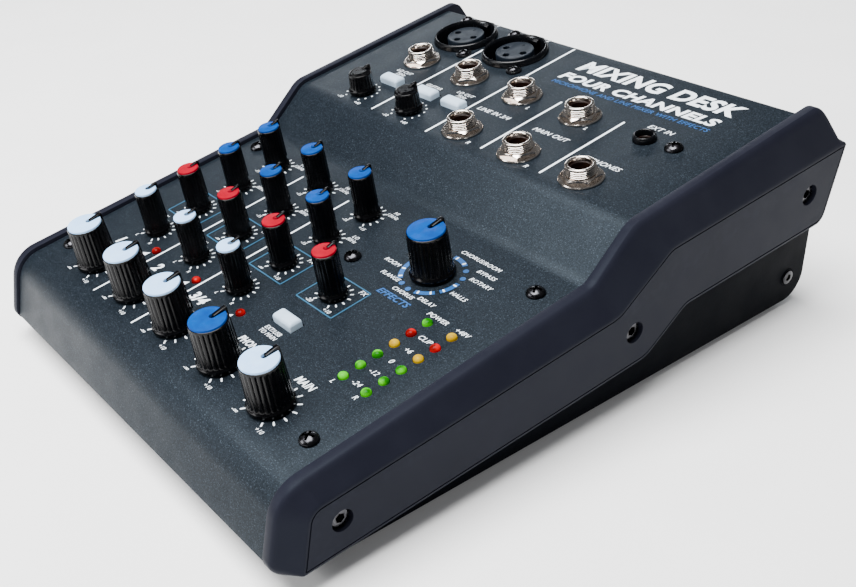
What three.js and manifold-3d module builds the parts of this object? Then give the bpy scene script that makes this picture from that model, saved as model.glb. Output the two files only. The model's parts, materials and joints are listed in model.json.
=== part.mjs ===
// A compact desktop mixing console: a bent sheet panel between two moulded end cheeks, on a wedge-shaped
// bottom pan. Millimetres, +Z up, X to the operator's right, Y to the back.
// The origin is on the floor, under the centre of the whole object.

import * as THREE from "three";
import { mergeVertices } from "three/addons/utils/BufferGeometryUtils.js";
import Module from "manifold-3d";

const wasm = await Module();
wasm.setup();

// ---- Driving dimensions ----

const PITCH = 25; // channel pitch: knobs, jacks and sockets share it
const ROW = 16.15; // pitch of the small-knob rows along the deck
const FIRST_ROW = 22.8; // first small-knob row, from the level-knob row
const TILT = THREE.MathUtils.degToRad(7.6); // deck against the base
const DECK_Y = -81; // the level-knob row on the deck's surface
const DECK_Z = 32;
const STEP = 10.95; // upper deck above the lower deck
const SHEET = 1.5; // panel and pan sheet
const GAP = 0.35; // clearance between neighbouring pieces
const PANEL_HALF = 3 * PITCH - 0.2;
const FOOT_HEIGHT = 2;
const BASE_Z = FOOT_HEIGHT + 0.3;
const REAR_Y = 100.5; // outer face of the pan's rear wall
const REAR_TOP = 29.2; // where that wall ends and the panel's flange begins
const FRONT_TOP = 9.6; // where the pan's front wall ends under the panel's lip
const WALL_X = 78.1; // outer face of the pan's side walls
const CHEEK_IN = 3 * PITCH + GAP;
const CHEEK_RIDGE = 78.75; // where the cheek's top facet turns into its chamfer
const CHEEK_OUT = 83.3;
const CHEEK_PROUD = 1.05; // cheek top above the panel's surface
const BACK_JACKS = 138.2; // the two jack rows, from the level-knob row
const FRONT_JACKS = 112;
const XLR_ROW = 159.3;
const GAIN_ROW = 111;
const BUTTON_ROW = 121.6;
const METER_X = 55.3;
const METER_FIRST = 19.2;
const METER_ROW = 5.73;
const METER_COLUMN = 9.65;
const PEAK_DX = 10.5;
const PEAK_S = 16.1;
const PLATE = 1.6; // circuit boards
const CONTROL_PLATE = -12.4; // top of the control board, below the lower deck
const JACK_PLATE = -23; // top of the jack board, below the upper deck
const SHAFT_R = 2.5;
const SHAFT_END = -10.5;
const LED_R = 1.45;

// ---- Materials ----

const paint = (color, roughness, metalness = 0) =>
  new THREE.MeshStandardMaterial({ color, roughness, metalness });
const LOOKS = {
  panel: paint(0x35404c, 0.55, 0.3),
  pan: paint(0x121318, 0.5, 0.3),
  cheek: paint(0x2a2d38, 0.5),
  knob: paint(0x0c0c0e, 0.4),
  button: paint(0xdfe9f2, 0.35),
  nickel: paint(0xcfc8bf, 0.25, 1),
  socket: paint(0x111216, 0.45),
  lens: paint(0x2fae38, 0.2),
  rubber: paint(0x151515, 0.9),
  board: paint(0x1f5a34, 0.6),
};

// ---- Solids: three.js geometry in, three.js geometry out ----

function solidOf(geometry) {
  const bare = geometry.index ? geometry.toNonIndexed() : geometry.clone();
  for (const name of Object.keys(bare.attributes)) {
    if (name !== "position") bare.deleteAttribute(name);
  }
  const merged = mergeVertices(bare, 1e-4);
  return new wasm.Manifold(
    new wasm.Mesh({
      numProp: 3,
      vertProperties: new Float32Array(merged.attributes.position.array),
      triVerts: new Uint32Array(merged.index.array),
    }),
  );
}

function geometryOf(solid) {
  const mesh = solid.getMesh();
  const geometry = new THREE.BufferGeometry();
  geometry.setAttribute("position", new THREE.BufferAttribute(mesh.vertProperties, 3));
  geometry.setIndex(new THREE.BufferAttribute(mesh.triVerts, 1));
  return geometry;
}

const join = (first, ...others) =>
  geometryOf(others.reduce((sum, g) => sum.add(solidOf(g)), solidOf(first)));
const cut = (body, ...tools) =>
  geometryOf(tools.reduce((rest, g) => rest.subtract(solidOf(g)), solidOf(body)));

// ---- Plain shapes, given by their limits ----

function box(x0, x1, y0, y1, z0, z1) {
  return new THREE.BoxGeometry(x1 - x0, y1 - y0, z1 - z0).translate(
    (x0 + x1) / 2,
    (y0 + y1) / 2,
    (z0 + z1) / 2,
  );
}

// A round bar or cone along Z at (x, y); sides sets how fine it is.
function rod(x, y, z0, z1, radius, sides = 20, topRadius = radius) {
  return new THREE.CylinderGeometry(topRadius, radius, z1 - z0, sides)
    .rotateX(Math.PI / 2)
    .translate(x, y, (z0 + z1) / 2);
}

// A turned shape about Z from [radius, height] pairs, bottom first.
function turned(profile, sides) {
  const points = profile.map(([r, z]) => new THREE.Vector2(r, z));
  return new THREE.LatheGeometry(points, sides).rotateX(Math.PI / 2);
}

// ---- Outlines in a side view: [along, up, corner radius] ----

const ARC_STEPS = 4;

// Replaces each corner that has a radius with an arc of ARC_STEPS pieces.
function rounded(corners, closed) {
  const points = [];
  corners.forEach(([x, y, radius = 0], i) => {
    const here = new THREE.Vector2(x, y);
    const ends = !closed && (i === 0 || i === corners.length - 1);
    if (ends || radius === 0) {
      points.push(here);
      return;
    }
    const before = corners[(i + corners.length - 1) % corners.length];
    const after = corners[(i + 1) % corners.length];
    const inward = new THREE.Vector2(before[0] - x, before[1] - y).normalize();
    const outward = new THREE.Vector2(after[0] - x, after[1] - y).normalize();
    const half = Math.acos(THREE.MathUtils.clamp(inward.dot(outward), -1, 1)) / 2;
    const tangent = radius / Math.tan(half);
    const centre = inward
      .clone()
      .add(outward)
      .normalize()
      .multiplyScalar(radius / Math.sin(half))
      .add(here);
    const from = here.clone().addScaledVector(inward, tangent).sub(centre);
    const to = here.clone().addScaledVector(outward, tangent).sub(centre);
    const turn = Math.atan2(from.cross(to), from.dot(to));
    for (let k = 0; k <= ARC_STEPS; k++) {
      const angle = (turn * k) / ARC_STEPS;
      points.push(from.clone().rotateAround(new THREE.Vector2(), angle).add(centre));
    }
  });
  return points;
}

// The same line moved sideways by a distance, to its left, with its bends kept concentric.
function beside(corners, distance) {
  return corners.map(([x, y, radius = 0], i) => {
    const before = corners[i - 1];
    const after = corners[i + 1];
    const normals = [];
    if (before) normals.push(new THREE.Vector2(before[1] - y, x - before[0]).normalize());
    if (after) normals.push(new THREE.Vector2(y - after[1], after[0] - x).normalize());
    const middle = normals.reduce((a, b) => a.clone().add(b)).normalize();
    const reach = distance / middle.dot(normals[0]);
    const bend =
      before && after
        ? Math.sign((x - before[0]) * (after[1] - y) - (y - before[1]) * (after[0] - x))
        : 0;
    return [x + middle.x * reach, y + middle.y * reach, radius && radius - bend * distance];
  });
}

// An outline in the Y-Z plane carried along X from x0 to x1.
function across(points, x0, x1) {
  const shape = new THREE.Shape(points);
  return new THREE.ExtrudeGeometry(shape, { depth: x1 - x0, bevelEnabled: false })
    .applyMatrix4(new THREE.Matrix4().set(0, 0, 1, x0, 1, 0, 0, 0, 0, 1, 0, 0, 0, 0, 0, 1));
}

// A skin through anticlockwise outlines of equal length at rising X, closed with flat ends.
function lofted(rings) {
  const count = rings[0].points.length;
  const position = [];
  for (const { x, points } of rings) points.forEach((p) => position.push(x, p.x, p.y));
  const index = [];
  for (let r = 0; r + 1 < rings.length; r++) {
    for (let i = 0; i < count; i++) {
      const a = r * count + i;
      const b = r * count + ((i + 1) % count);
      index.push(a, b, a + count, b, b + count, a + count);
    }
  }
  const last = (rings.length - 1) * count;
  const lids = (points) => THREE.ShapeUtils.triangulateShape(points, []);
  for (const [a, b, c] of lids(rings[0].points)) index.push(a, c, b);
  for (const [a, b, c] of lids(rings[rings.length - 1].points)) {
    index.push(last + a, last + b, last + c);
  }
  const geometry = new THREE.BufferGeometry();
  geometry.setAttribute("position", new THREE.Float32BufferAttribute(position, 3));
  geometry.setIndex(index);
  return geometry;
}

// Floor coordinates (y, z) of a side-view point as deck coordinates, and the other way round.
const cosine = Math.cos(TILT);
const sine = Math.sin(TILT);
const toDeck = (y, z, radius) => [
  (y - DECK_Y) * cosine + (z - DECK_Z) * sine,
  (z - DECK_Z) * cosine - (y - DECK_Y) * sine,
  radius,
];

// ---- Where the controls are, on the deck: x and distance from the level-knob row ----

const columns = [-2, -1, 0, 1, 2].map((n) => n * PITCH);
const rowAt = (n) => FIRST_ROW + n * ROW;
const strips = ["1", "2", "34"];
const BIG = { base: 6.7, top: 5.75, height: 14.4, cap: 5.4, rib: 1.3 };
const SMALL = { base: 4.4, top: 3.8, height: 15, cap: 3.5, rib: 1 };
const GAIN = { base: 4.8, top: 4, height: 7.2, cap: 3.7, rib: 1.1 };

const knobs = [
  ...strips.map((s, i) => ({ name: `level_knob_${s}`, x: columns[i], s: 0, size: BIG })),
  { name: "phones_knob", x: columns[3], s: 0, size: BIG },
  { name: "main_knob", x: columns[4], s: 0, size: BIG },
  { name: "effects_knob", x: 39.3, s: 63.7, size: BIG },
  ...["pan", "send", "low", "high"].flatMap((kind, row) =>
    strips.map((s, i) => ({
      name: `${kind}_knob_${s}`,
      x: columns[i],
      s: rowAt(row),
      size: SMALL,
    })),
  ),
  { name: "effects_level_knob", x: columns[3], s: rowAt(1), size: SMALL },
  { name: "gain_knob_1", x: columns[0], s: GAIN_ROW, size: GAIN, upper: true },
  { name: "gain_knob_2", x: columns[1], s: GAIN_ROW, size: GAIN, upper: true },
];

const buttons = [
  { name: "source_button", x: columns[3], s: rowAt(0) },
  { name: "low_cut_button_1", x: -46.4, s: BUTTON_ROW, upper: true },
  { name: "low_cut_button_2", x: -28.3, s: BUTTON_ROW, upper: true },
  { name: "guitar_button", x: -14.6, s: BUTTON_ROW, upper: true },
];

const jacks = [
  { name: "line_jack_1", x: columns[0], s: BACK_JACKS },
  { name: "line_jack_2", x: columns[1], s: BACK_JACKS },
  { name: "line_jack_3", x: columns[2], s: BACK_JACKS },
  { name: "line_jack_4", x: columns[2], s: FRONT_JACKS },
  { name: "main_jack_left", x: columns[3], s: BACK_JACKS },
  { name: "main_jack_right", x: columns[3], s: FRONT_JACKS },
  { name: "phones_jack", x: columns[4], s: FRONT_JACKS },
];

const sockets = [
  { name: "mic_socket_1", x: columns[0], s: XLR_ROW },
  { name: "mic_socket_2", x: columns[1], s: XLR_ROW },
];
const extIn = { name: "ext_in_jack", x: columns[4], s: BACK_JACKS };

const meterDots = [];
for (let row = 0; row < 6; row++) {
  for (const x of [METER_X, METER_X + METER_COLUMN]) {
    meterDots.push({ x, s: METER_FIRST + row * METER_ROW });
  }
}
const peakDots = columns.slice(0, 3).map((x) => ({ x: x + PEAK_DX, s: PEAK_S }));

// ---- The bent top panel ----

const panelLine = [
  [-24.6, -18.9],
  [-17.3, 0, 10],
  [85.9, 0, 8],
  [102.3, STEP, 8],
  [174.6, STEP, 3],
  toDeck(REAR_Y - SHEET, REAR_TOP + GAP),
];

function panelGeometry() {
  const outer = rounded(panelLine, false);
  const inner = rounded(beside(panelLine, -SHEET), false);
  const sheet = across([...outer, ...inner.reverse()], -PANEL_HALF, PANEL_HALF);
  const level = (place) => (place.upper ? STEP : 0);
  const through = (x, s, n, radius, sides) => rod(x, s, n - 4, n + 3, radius, sides);
  const holes = [
    ...knobs.map((k) => through(k.x, k.s, level(k), SHAFT_R + 0.6, 8)),
    ...buttons.map((b) =>
      box(b.x - 4.9, b.x + 4.9, b.s - 2.6, b.s + 2.6, level(b) - 4, level(b) + 3),
    ),
    ...jacks.map((j) => through(j.x, j.s, STEP, 4.9, 16)),
    ...sockets.map((k) => through(k.x, k.s, STEP, 10.6, 24)),
    through(extIn.x, extIn.s, STEP, 3.5, 12),
    ...meterDots.map((d) => through(d.x, d.s, 0, LED_R + GAP, 8)),
    ...peakDots.map((d) => through(d.x, d.s, 0, LED_R + GAP, 8)),
  ];
  return cut(sheet, ...holes);
}

// ---- The bottom pan: floor, slanted front, side walls and rear wall ----

// Outline of a side wall on the floor frame's Y-Z plane, grown outwards by a clearance.
function wallOutline(grow, floor) {
  const fromDeck = (s, n) => [s * cosine - n * sine + DECK_Y, n * cosine + s * sine + DECK_Z];
  const low = -4.2 + grow;
  return rounded(
    [
      [-93 - grow, floor],
      [-101.2 - grow, FRONT_TOP - 0.4],
      [...fromDeck(-15.6 - grow, low), 5],
      [...fromDeck(87.6, low), 6],
      [...fromDeck(104, low + STEP), 6],
      [...fromDeck(174 + grow, low + STEP)],
      [REAR_Y + grow, REAR_TOP],
      [REAR_Y + grow, floor, floor === BASE_Z ? 8 : 0],
    ],
    true,
  );
}

const rearCutouts = { dc: -58, usb: -30, phantom: 30, power: 56, z: 15.5 };

function panGeometry() {
  const outer = across(wallOutline(0, BASE_Z), -WALL_X, WALL_X);
  const room = [
    [-91.6, BASE_Z + SHEET],
    [REAR_Y - SHEET, BASE_Z + SHEET, 6.5],
    [REAR_Y - SHEET, REAR_TOP],
    [140, REAR_TOP],
    [140, 120],
    [-140, 120],
    [-140, FRONT_TOP - 0.4],
    [-99.3, FRONT_TOP - 0.4],
  ];
  const inside = across(rounded(room, true), SHEET - WALL_X, WALL_X - SHEET);
  const rearHole = (x, halfX, halfZ) =>
    box(
      x - halfX,
      x + halfX,
      REAR_Y - 4,
      REAR_Y + 2,
      rearCutouts.z - halfZ,
      rearCutouts.z + halfZ,
    );
  return cut(
    outer,
    inside,
    rearHole(rearCutouts.dc, 4.9, 5.9),
    rearHole(rearCutouts.usb, 6.4, 5.9),
    rearHole(rearCutouts.phantom, 3.4, 3.4),
    rearHole(rearCutouts.power, 4.4, 4.4),
  );
}

// ---- The end cheeks ----

// Outer ridge of a cheek and the crease of its outer face: corners pair up one to one.
const BOTTOM = [
  [116, -20.6, 7],
  [99.5, -29.2, 9],
];
const ridge = [
  [-26.7, -21.9, 4],
  [-18, CHEEK_PROUD, 11],
  [85.6, CHEEK_PROUD, 7],
  [102, STEP + CHEEK_PROUD, 9],
  [178.6, STEP + CHEEK_PROUD, 5],
  [185.8, -2.2, 1.5],
  [176.7, -25, 4],
  ...BOTTOM,
];
const crease = [
  [-19.4, -22.4, 0.6],
  [-13.2, -4.6, 5],
  [89.5, -8.6, 7],
  [110.3, 2, 7],
  [183, -1.7, 0.6],
  [185.7, -2.1, 0.6],
  [176.7, -25, 4],
  ...BOTTOM,
];
const cheekScrews = [
  { s: -5.25, n: -13.4 },
  { s: 95.2, n: -17.9 },
  { s: 169.4, n: -11.9 },
];
const SCREW_POCKET_R = 3.2;

// The right-hand cheek, in the deck frame; the left one is its mirror image.
function cheekGeometry() {
  const top = rounded(ridge, true).reverse();
  const body = lofted([
    { x: CHEEK_IN, points: top },
    { x: CHEEK_RIDGE, points: top },
    { x: CHEEK_OUT, points: rounded(crease, true).reverse() },
  ]);
  const slot = wallOutline(0.5, -30).map((p) => new THREE.Vector2(...toDeck(p.x, p.y).slice(0, 2)));
  const pocket = ({ s, n }) =>
    rod(0, 0, CHEEK_OUT - 2.6, CHEEK_OUT + 2, SCREW_POCKET_R, 16)
      .rotateY(Math.PI / 2)
      .translate(0, s, n);
  return cut(
    body,
    across(slot, CHEEK_IN - 1, WALL_X + GAP),
    ...cheekScrews.map(pocket),
  );
}

// Swaps left and right and keeps the faces pointing out.
function mirrored(geometry) {
  const copy = geometry.clone().scale(-1, 1, 1);
  const index = copy.index.array;
  for (let i = 0; i < index.length; i += 3) {
    [index[i + 1], index[i + 2]] = [index[i + 2], index[i + 1]];
  }
  return copy;
}

// ---- Controls: each stands at the origin on the deck's surface ----

const STAND_OFF = 0.6;
const KNOB_SIDES = 16;

// A tapered knob with its shaft and a raised pointer rib towards the back.
function knobGeometry({ base, top, height, cap, rib }) {
  const body = turned(
    [
      [0, SHAFT_END],
      [SHAFT_R, SHAFT_END],
      [SHAFT_R, STAND_OFF],
      [base, STAND_OFF],
      [base, STAND_OFF + 2],
      [top, height - 0.3],
      [cap, height + 0.8],
      [0, height + 0.8],
    ],
    KNOB_SIDES,
  );
  const outline = [
    [cap * 0.33, height - 2],
    [base - 0.6, STAND_OFF + 2.5],
    [base + 0.35, STAND_OFF + 2.5],
    [top + 0.45, height + 1.7],
    [cap * 0.33, height + 1.1],
  ];
  const rail = across(rounded(outline, true), -rib / 2, rib / 2);
  return join(body, rail);
}

// A push button: rounded white cap, with its stem reaching down to its switch.
function buttonGeometry() {
  const cap = new THREE.Shape(
    rounded([[-4.5, -2.2, 0.7], [4.5, -2.2, 0.7], [4.5, 2.2, 0.7], [-4.5, 2.2, 0.7]], true),
  );
  const head = new THREE.ExtrudeGeometry(cap, { depth: 5.6, bevelEnabled: false });
  head.translate(0, 0, -3.2);
  return join(head, box(-1.8, 1.8, -1.1, 1.1, -7.6, -3));
}

// ---- Sockets: each stands at the origin on the upper deck's surface ----

const BUSH_R = 4.45;
const BUSH_TOP = 5;
const JACK_BORE_R = 3.3;

// A 6.35 mm jack: threaded bush above the deck, moulded housing below it, one blind bore.
function jackGeometry() {
  return cut(
    join(
      box(-6.5, 6.5, -6.5, 6.5, -22.4, -SHEET - GAP),
      rod(0, 0, -4, BUSH_TOP, BUSH_R, 16),
    ),
    rod(0, 0, -21, BUSH_TOP + 1, JACK_BORE_R, 16),
  );
}

// Its hex nut, standing on a round washer.
function nutGeometry() {
  return cut(
    join(rod(0, 0, 0.3, 1, 6.2, 18), rod(0, 0, 0.9, 2.9, 6.2, 6)),
    rod(0, 0, -1, 4, BUSH_R + GAP, 16),
  );
}

const PIN_R = 4.1;

// A three-pin microphone socket: bevelled flange, ring-shaped recess and a flat insert.
function micSocketGeometry() {
  const shell = turned(
    [
      [0, -18],
      [10.1, -18],
      [10.1, 0.3],
      [11.6, 0.3],
      [11.6, 1],
      [10.6, 2.2],
      [9.6, 2.2],
      [9.6, -13],
      [7.5, -13],
      [7.5, 1.4],
      [0, 1.4],
    ],
    24,
  );
  const pin = (x, y) => rod(x, y, -10, 3, 1.15, 8);
  return cut(shell, pin(-PIN_R, 0), pin(PIN_R, 0), pin(0, -PIN_R));
}

// A 3.5 mm jack with a collar above the deck and a housing below it.
function extInGeometry() {
  return cut(
    join(
      box(-4.5, 4.5, -4.5, 4.5, -13, -SHEET - GAP),
      rod(0, 0, -4, 2.4, 3.1, 16),
      rod(0, 0, 0.3, 1.4, 3.9, 16, 3.7),
    ),
    rod(0, 0, -12, 4, 1.8, 12),
  );
}

// ---- Indicator lenses: domed pegs on a carrier under the panel ----

function lensGeometry(dots, carrier) {
  const peg = ({ x, s }) =>
    turned(
      [
        [0, -4],
        [LED_R, -4],
        [LED_R, 0.3],
        [LED_R * 0.65, 1.1],
        [0, 1.3],
      ],
      8,
    ).translate(x, s, 0);
  return join(carrier, ...dots.map(peg));
}

// ---- Circuit boards, with the housings that the shafts and buttons run into ----

function potHousing({ x, s, size }, plate) {
  const half = size === BIG ? 4.7 : 4;
  return cut(
    box(x - half, x + half, s - half, s + half, plate - 0.2, -6),
    rod(x, s, SHAFT_END - 0.7, -5, SHAFT_R + 0.6, 6),
  );
}

const switchHousing = ({ x, s }, plate) =>
  box(x - 3, x + 3, s - 2.4, s + 2.4, plate - 0.2, -9.7);

function controlBoardGeometry() {
  const plate = box(-66, 66, -9, 80, CONTROL_PLATE - PLATE, CONTROL_PLATE);
  return join(
    plate,
    ...knobs.filter((k) => !k.upper).map((k) => potHousing(k, CONTROL_PLATE)),
    ...buttons.filter((b) => !b.upper).map((b) => switchHousing(b, CONTROL_PLATE)),
  );
}

function jackBoardGeometry() {
  const plate = box(-62, 62, 104.5, 148, JACK_PLATE - PLATE, JACK_PLATE);
  return join(
    plate,
    ...knobs.filter((k) => k.upper).map((k) => potHousing(k, JACK_PLATE)),
    ...buttons.filter((b) => b.upper).map((b) => switchHousing(b, JACK_PLATE)),
  );
}

// ---- Rear connectors and switches, along +Y through the pan's rear wall ----

const backwards = (geometry) => geometry.rotateX(-Math.PI / 2);

function dcInletGeometry() {
  const well = backwards(rod(0, 0, REAR_Y - 9, REAR_Y + 2, 3.1, 16));
  const pin = backwards(rod(0, 0, REAR_Y - 10, REAR_Y - 0.5, 1, 10));
  return join(cut(box(-4.5, 4.5, REAR_Y - 13, REAR_Y + 0.6, -5.5, 5.5), well), pin);
}

function usbPortGeometry() {
  const mouth = box(-4.2, 4.2, REAR_Y - 11, REAR_Y + 2, -3.9, 3.9);
  const tongue = box(-2.8, 2.8, REAR_Y - 12, REAR_Y - 0.8, -1.6, 1.6);
  return join(cut(box(-6, 6, REAR_Y - 15, REAR_Y + 0.6, -5.5, 5.5), mouth), tongue);
}

const CAP_PROUD = 2.8;

// A push switch: the cap stands out of the wall and its stem runs inwards.
function pushCapGeometry(half) {
  return join(
    box(-half, half, REAR_Y - 3, REAR_Y + CAP_PROUD, -half, half),
    box(-1.5, 1.5, REAR_Y - 9, REAR_Y - 2.5, -1.5, 1.5),
  );
}

// ---- Assembly ----

const consoleGroup = new THREE.Group();
const lowerDeck = new THREE.Group();
lowerDeck.position.set(0, DECK_Y, DECK_Z);
lowerDeck.rotation.x = TILT;
const upperDeck = new THREE.Group();
upperDeck.position.z = STEP;
lowerDeck.add(upperDeck);
const rear = new THREE.Group();
rear.position.z = rearCutouts.z;
consoleGroup.add(lowerDeck, rear);

function put(parent, name, geometry, look, x = 0, y = 0, z = 0) {
  const mesh = new THREE.Mesh(geometry, LOOKS[look]);
  mesh.name = name;
  mesh.position.set(x, y, z);
  parent.add(mesh);
}

const deckOf = (place) => (place.upper ? upperDeck : lowerDeck);

put(lowerDeck, "top_panel", panelGeometry(), "panel");
put(consoleGroup, "bottom_pan", panGeometry(), "pan");
const cheek = cheekGeometry();
put(lowerDeck, "right_cheek", cheek, "cheek");
put(lowerDeck, "left_cheek", mirrored(cheek), "cheek");

for (const k of knobs) put(deckOf(k), k.name, knobGeometry(k.size), "knob", k.x, k.s);
for (const b of buttons) put(deckOf(b), b.name, buttonGeometry(), "button", b.x, b.s);
for (const j of jacks) {
  put(upperDeck, j.name, jackGeometry(), "nickel", j.x, j.s);
  put(upperDeck, `${j.name}_nut`, nutGeometry(), "nickel", j.x, j.s);
}
for (const k of sockets) put(upperDeck, k.name, micSocketGeometry(), "socket", k.x, k.s);
put(upperDeck, extIn.name, extInGeometry(), "socket", extIn.x, extIn.s);

const meterEnd = METER_FIRST + 5 * METER_ROW;
const meterCarrier = box(
  METER_X - 3,
  METER_X + METER_COLUMN + 3,
  METER_FIRST - 3,
  meterEnd + 3,
  -8,
  -3,
);
put(lowerDeck, "meter_leds", lensGeometry(meterDots, meterCarrier), "lens");
const peakCarrier = box(
  columns[0] + PEAK_DX - 3,
  columns[2] + PEAK_DX + 3,
  PEAK_S - 1.6,
  PEAK_S + 1.6,
  -7,
  -3,
);
put(lowerDeck, "peak_leds", lensGeometry(peakDots, peakCarrier), "lens");

put(lowerDeck, "control_board", controlBoardGeometry(), "board");
put(upperDeck, "jack_board", jackBoardGeometry(), "board");

put(rear, "dc_inlet", dcInletGeometry(), "socket", rearCutouts.dc);
put(rear, "usb_port", usbPortGeometry(), "nickel", rearCutouts.usb);
put(rear, "phantom_switch", pushCapGeometry(3), "button", rearCutouts.phantom);
put(rear, "power_switch", pushCapGeometry(4), "socket", rearCutouts.power);

[-1, 1].forEach((side) => {
  [-80, 86].forEach((y) => {
    const name = `foot_${y < 0 ? "front" : "rear"}_${side < 0 ? "left" : "right"}`;
    put(consoleGroup, name, rod(0, 0, 0, FOOT_HEIGHT, 6, 20, 5.5), "rubber", side * 62, y);
  });
});

export default consoleGroup;
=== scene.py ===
"""The looks of a compact mixing console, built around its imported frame.

Shapes are drawn in millimetres, on the deck or at their own centre, and placed into the frame in metres.
On the deck, x runs to the operator's right, s up the slope from the level-knob row, and n out of the panel.
"""

import json
from math import asin, atan2, copysign, cos, degrees, hypot, pi, radians, sin, tan, tau

import bmesh
import bpy
from mathutils import Matrix, Vector


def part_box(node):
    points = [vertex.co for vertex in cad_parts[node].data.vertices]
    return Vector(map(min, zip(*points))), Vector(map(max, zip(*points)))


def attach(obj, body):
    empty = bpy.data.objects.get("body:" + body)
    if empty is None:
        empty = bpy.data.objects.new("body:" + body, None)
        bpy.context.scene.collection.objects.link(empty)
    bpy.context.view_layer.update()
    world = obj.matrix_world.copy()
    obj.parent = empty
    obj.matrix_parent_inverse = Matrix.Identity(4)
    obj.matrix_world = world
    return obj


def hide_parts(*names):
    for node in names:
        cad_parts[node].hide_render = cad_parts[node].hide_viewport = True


shift = Matrix.Translation
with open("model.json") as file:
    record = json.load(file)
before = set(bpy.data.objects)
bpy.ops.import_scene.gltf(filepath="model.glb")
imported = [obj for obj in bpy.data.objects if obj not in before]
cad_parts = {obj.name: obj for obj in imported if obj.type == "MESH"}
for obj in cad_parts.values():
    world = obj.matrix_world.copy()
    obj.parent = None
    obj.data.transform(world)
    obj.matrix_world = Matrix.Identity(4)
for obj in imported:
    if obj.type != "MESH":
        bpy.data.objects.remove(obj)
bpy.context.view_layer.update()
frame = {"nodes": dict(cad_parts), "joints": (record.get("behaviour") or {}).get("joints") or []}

# ---- Driving dimensions, in millimetres ----

PITCH = 25.0
ROW = 16.15
FIRST_ROW = 22.8
STEP = 10.95
SHEET = 1.5
PANEL_HALF = 74.8
REAR_Y = 100.5
REAR_TOP = 29.2
FRONT_TOP = 9.6
BASE_Z = 2.3
WALL_X = 78.1
CHEEK_IN = 75.35
CHEEK_RIDGE = 78.75
CHEEK_OUT = 83.3
CHEEK_PROUD = 1.05
BACK_JACKS = 138.2
FRONT_JACKS = 112.0
XLR_ROW = 159.3
METER_X = 55.3
METER_FIRST = 19.2
METER_ROW = 5.73
METER_COLUMN = 9.65
PEAK_DX = 10.5
PEAK_S = 16.1
CONNECTOR_Z = 15.5
DC_X, USB_X, PHANTOM_X, POWER_X = -58, -30, 30, 56
INK = 0.05  # how far the printed ink stands out of the paint
SHARPEST = 0.05  # the smallest radius left on a bend that is moved inwards
SAME_POINT = 1e-5  # points closer than this are joined
KNOB_TRAVEL = 144  # degrees to each side
TICK_ANGLE = 24  # degrees between a dial's ticks
GAIN_S = 111

COLUMNS = [n * PITCH for n in (-2, -1, 0, 1, 2)]
STRIPS = ("1", "2", "34")

# ---- The deck's place, from the knobs' joints ----

joints = {j["child"]: j for j in frame["joints"]}
deck_axis = Vector(joints["main_knob"]["axis"])
TILT = atan2(-deck_axis.y, deck_axis.z)
TURN = Matrix.Rotation(TILT, 4, "X")
MM = Matrix.Scale(0.001, 4)
SIDEWAYS = Matrix.Rotation(pi / 2, 4, "Y")  # turns a screw's axis to point along x
DECK = shift(joints["level_knob_34"]["pos_m"]) @ TURN @ MM
SIDES = {"right": Matrix.Identity(4), "left": Matrix.Scale(-1, 4, (1, 0, 0))}


def on_deck(x, s, n=0.0):
    """The frame at a point of the deck, in millimetres."""
    return DECK @ shift((x, s, n))


def to_deck(y, z, radius=0.0):
    """A floor point (y, z) in millimetres as a corner of an outline on the deck."""
    p = DECK.inverted() @ Vector((0, y / 1000, z / 1000))
    return (p.y, p.z, radius)


# ---- Outlines: corners are (along, up, radius) ----


def parts(corner):
    """A corner's point and radius, which is 0 where none is given."""
    return Vector(corner[:2]), corner[2] if len(corner) > 2 else 0


def rounded(corners, steps, closed=True):
    """The outline with each corner that has a radius turned into an arc."""
    points = []
    count = len(corners)
    for i, corner in enumerate(corners):
        here, radius = parts(corner)
        is_end = not closed and i in (0, count - 1)
        if is_end or radius == 0:
            points.append(here)
            continue
        inward = (Vector(corners[i - 1][:2]) - here).normalized()
        outward = (Vector(corners[(i + 1) % count][:2]) - here).normalized()
        half = inward.angle(outward) / 2
        centre = here + (inward + outward).normalized() * (radius / sin(half))
        first = here + inward * (radius / tan(half)) - centre
        last = here + outward * (radius / tan(half)) - centre
        turn = atan2(first.cross(last), first.dot(last))
        for k in range(steps + 1):
            points.append(centre + Matrix.Rotation(turn * k / steps, 2) @ first)
    return points


def beside(corners, distance, closed=False):
    """A line of corners moved sideways, to its left, with its bends kept concentric."""
    moved = []
    count = len(corners)
    for i, corner in enumerate(corners):
        here, radius = parts(corner)
        ways = []
        if closed or i > 0:
            ways.append((here - Vector(corners[i - 1][:2])).normalized())
        if closed or i + 1 < count:
            ways.append((Vector(corners[(i + 1) % count][:2]) - here).normalized())
        normals = [Vector((-w.y, w.x)) for w in ways]
        middle = sum(normals, Vector((0, 0))).normalized()
        place = here + middle * (distance / middle.dot(normals[0]))
        bend = copysign(1, ways[0].cross(ways[-1])) if len(ways) == 2 else 0
        moved.append((place.x, place.y, max(radius - bend * distance, SHARPEST) if radius else 0))
    return moved


def inset(points, distance):
    """A closed anticlockwise outline drawn in by a small distance, point for point."""
    count = len(points)
    drawn = []
    for i, here in enumerate(points):
        along = points[(i + 1) % count] - points[i - 1]
        drawn.append(here + Vector((-along.y, along.x)).normalized() * distance)
    return drawn


def polar(radius, bearing):
    """A point at a bearing in degrees, clockwise from the back."""
    angle = radians(bearing)
    return radius * sin(angle), radius * cos(angle)


def circle(radius, sides, centre=(0.0, 0.0)):
    steps = (tau * k / sides for k in range(sides))
    return [Vector((centre[0] + radius * cos(a), centre[1] + radius * sin(a))) for a in steps]


def rectangle(half_x, half_y, radius, steps=6):
    corners = [(-half_x, -half_y), (half_x, -half_y), (half_x, half_y), (-half_x, half_y)]
    return rounded([(*c, radius) for c in corners], steps)


# ---- Meshes ----


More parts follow.
